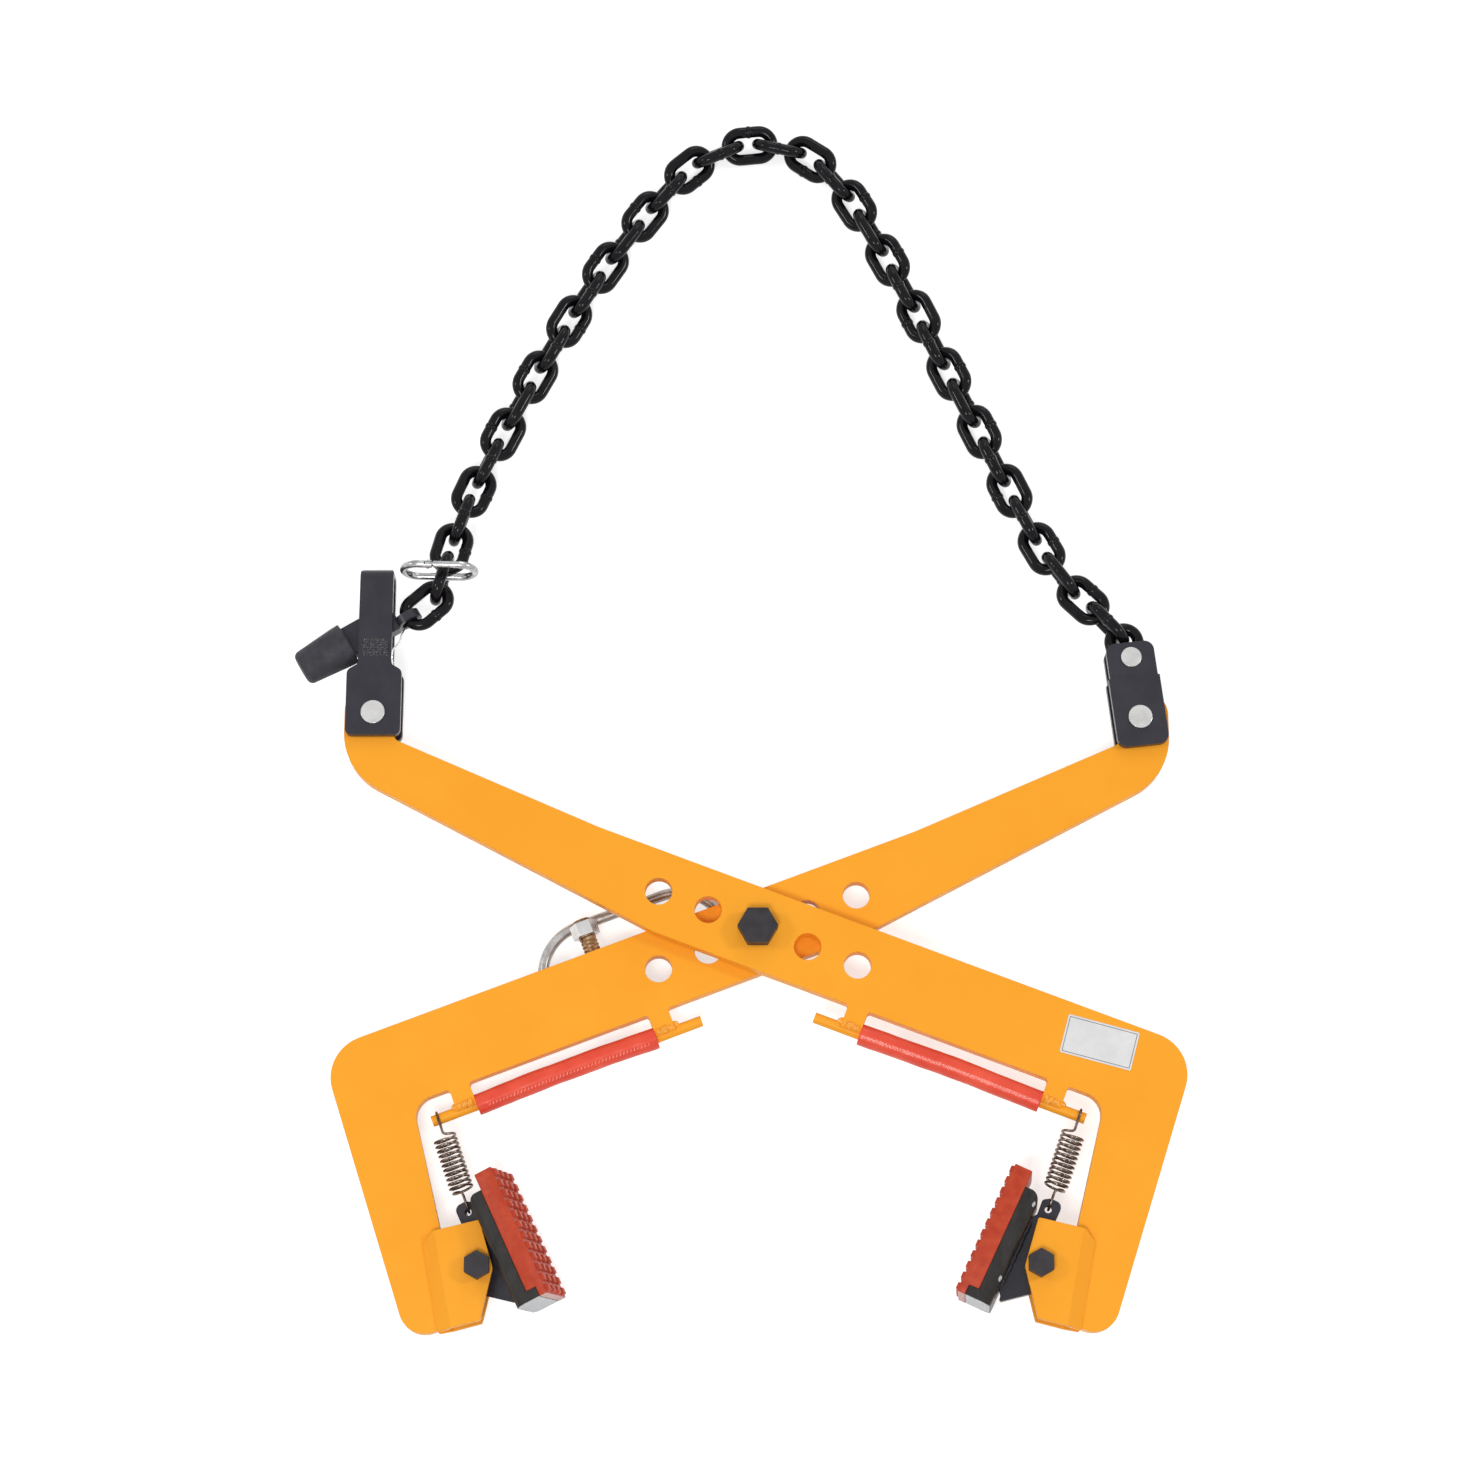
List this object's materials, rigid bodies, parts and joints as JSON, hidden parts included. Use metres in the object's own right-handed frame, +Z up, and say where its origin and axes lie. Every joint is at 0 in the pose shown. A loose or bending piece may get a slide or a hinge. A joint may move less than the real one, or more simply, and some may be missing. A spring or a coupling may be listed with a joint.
{
  "type": "stone lifting tongs",
  "caption": "Scissor lifting tongs with flat orange arms, rubber-padded swivel jaws, return springs, hand grips and a chain sling from a stirrup to a link.",
  "frame": {"origin": "bottom centre of the whole tongs' box, as they lie flat", "axes": "+X across the jaws to the right, +Y from the jaws towards the chain's top, +Z up, square to the arms"},
  "size_m": [0.82, 1.1804, 0.0766],
  "materials": {
    "orange_paint": "smooth orange paint",
    "red_grip": "satin red hose",
    "pad_rubber": "matte brick-red rubber",
    "black_paint": "satin charcoal paint",
    "black_steel": "blackened steel, semi-gloss",
    "black_rubber": "matte black rubber",
    "bright_zinc": "bright zinc",
    "spring_steel": "drawn steel wire",
    "label": "blank white label"
  },
  "bodies": {
    "front_arm": {"front_arm": "orange_paint", "front_handle_rod": "orange_paint", "front_grip": "red_grip", "front_cheek_upper": "orange_paint", "front_cheek_lower": "orange_paint", "nameplate": "label", "pivot_bolt": "black_steel", "pivot_nut": "black_steel", "pivot_washers": "black_steel", "right_spring": "spring_steel"},
    "rear_arm": {"rear_arm": "orange_paint", "rear_handle_rod": "orange_paint", "rear_grip": "red_grip", "rear_cheek_upper": "orange_paint", "rear_cheek_lower": "orange_paint", "ring_block": "black_paint", "stop_stud": "spring_steel", "stop_nut": "bright_zinc", "left_spring": "spring_steel"},
    "hold_ring": {"hold_ring": "bright_zinc"},
    "right_jaw_bolt": {"right_jaw_bolt": "black_steel", "right_jaw_nut": "black_steel"},
    "left_jaw_bolt": {"left_jaw_bolt": "black_steel", "left_jaw_nut": "black_steel"},
    "right_jaw": {"right_jaw_bar": "black_paint", "right_jaw_lug": "black_paint", "right_jaw_pad": "pad_rubber"},
    "left_jaw": {"left_jaw_bar": "black_paint", "left_jaw_lug": "black_paint", "left_jaw_pad": "pad_rubber"},
    "stirrup": {"stirrup_bow": "black_paint", "stirrup_plates": "black_paint", "stirrup_pin": "bright_zinc", "toggle_bar": "black_paint", "toggle_sleeve": "black_rubber"},
    "left_chain": {"left_chain": "black_steel", "snap_hook_body": "bright_zinc", "snap_hook_rivet": "bright_zinc"},
    "snap_gate": {"snap_hook_gate": "bright_zinc"},
    "right_link": {"link_front_plate": "black_paint", "link_rear_plate": "black_paint", "link_spacer": "black_paint", "link_arm_pin": "bright_zinc", "link_chain_pin": "bright_zinc"},
    "right_chain": {"right_chain": "black_steel"}
  },
  "joints": [
    {"name": "tongs_pivot", "type": "hinge", "parent": "front_arm", "child": "rear_arm", "pos_m": [0.02309, -0.22541, 0.0468], "axis": [0, 0, 1], "range_deg": [-30.6, 6.7]},
    {"name": "right_jaw_swivel", "type": "hinge", "parent": "front_arm", "child": "right_jaw_bolt", "pos_m": [0.27305, -0.53141, 0.0468], "axis": [0, 0, 1], "range_deg": [0, 30], "deforming": ["right_spring"]},
    {"name": "left_jaw_swivel", "type": "hinge", "parent": "rear_arm", "child": "left_jaw_bolt", "pos_m": [-0.22686, -0.53141, 0.0313], "axis": [0, 0, 1], "range_deg": [-30, 0], "deforming": ["left_spring"]},
    {"name": "right_jaw_rock", "type": "hinge", "parent": "right_jaw_bolt", "child": "right_jaw", "pos_m": [0.27305, -0.53141, 0.0468], "axis": [0.1789, 0.9839, 0], "range_deg": [-10, 18], "deforming": ["right_spring"]},
    {"name": "left_jaw_rock", "type": "hinge", "parent": "left_jaw_bolt", "child": "left_jaw", "pos_m": [-0.22686, -0.53141, 0.0313], "axis": [-0.1789, 0.9839, 0], "range_deg": [0, 28], "deforming": ["left_spring"]},
    {"name": "stirrup_swing", "type": "hinge", "parent": "front_arm", "child": "stirrup", "pos_m": [-0.33296, -0.02239, 0.0468], "axis": [0, 0, 1], "range_deg": [-15.35, 3.4]},
    {"name": "left_chain_swing", "type": "hinge", "parent": "stirrup", "child": "left_chain", "pos_m": [-0.30441, 0.07243, 0.0468], "axis": [0, 0, 1], "range_deg": [-5.12, 1.16]},
    {"name": "right_link_swing", "type": "hinge", "parent": "rear_arm", "child": "right_link", "pos_m": [0.37915, -0.02239, 0.0313], "axis": [0, 0, 1], "range_deg": [-3.4, 15.35]},
    {"name": "right_chain_swing", "type": "hinge", "parent": "right_link", "child": "right_chain", "pos_m": [0.3725, 0.03594, 0.0313], "axis": [0, 0, 1], "range_deg": [-1.16, 5.12]},
    {"name": "snap_gate_swing", "type": "hinge", "parent": "left_chain", "child": "snap_gate", "pos_m": [-0.28467, 0.11893, 0.07121], "axis": [0.0223, 0.9959, -0.0872], "range_deg": [0, 18]},
    {"name": "hold_ring_swing", "type": "hinge", "parent": "rear_arm", "child": "hold_ring", "pos_m": [-0.09132, -0.29306, 0.0098], "axis": [-0.9345, -0.3559, 0], "range_deg": [0, 100]}
  ],
  "couplings": [
    {"joint": "stirrup_swing", "follows": "tongs_pivot", "ratio": 0.5},
    {"joint": "left_chain_swing", "follows": "tongs_pivot", "ratio": 0.1656},
    {"joint": "right_link_swing", "follows": "tongs_pivot", "ratio": -0.5},
    {"joint": "right_chain_swing", "follows": "tongs_pivot", "ratio": -0.1656}
  ]
}
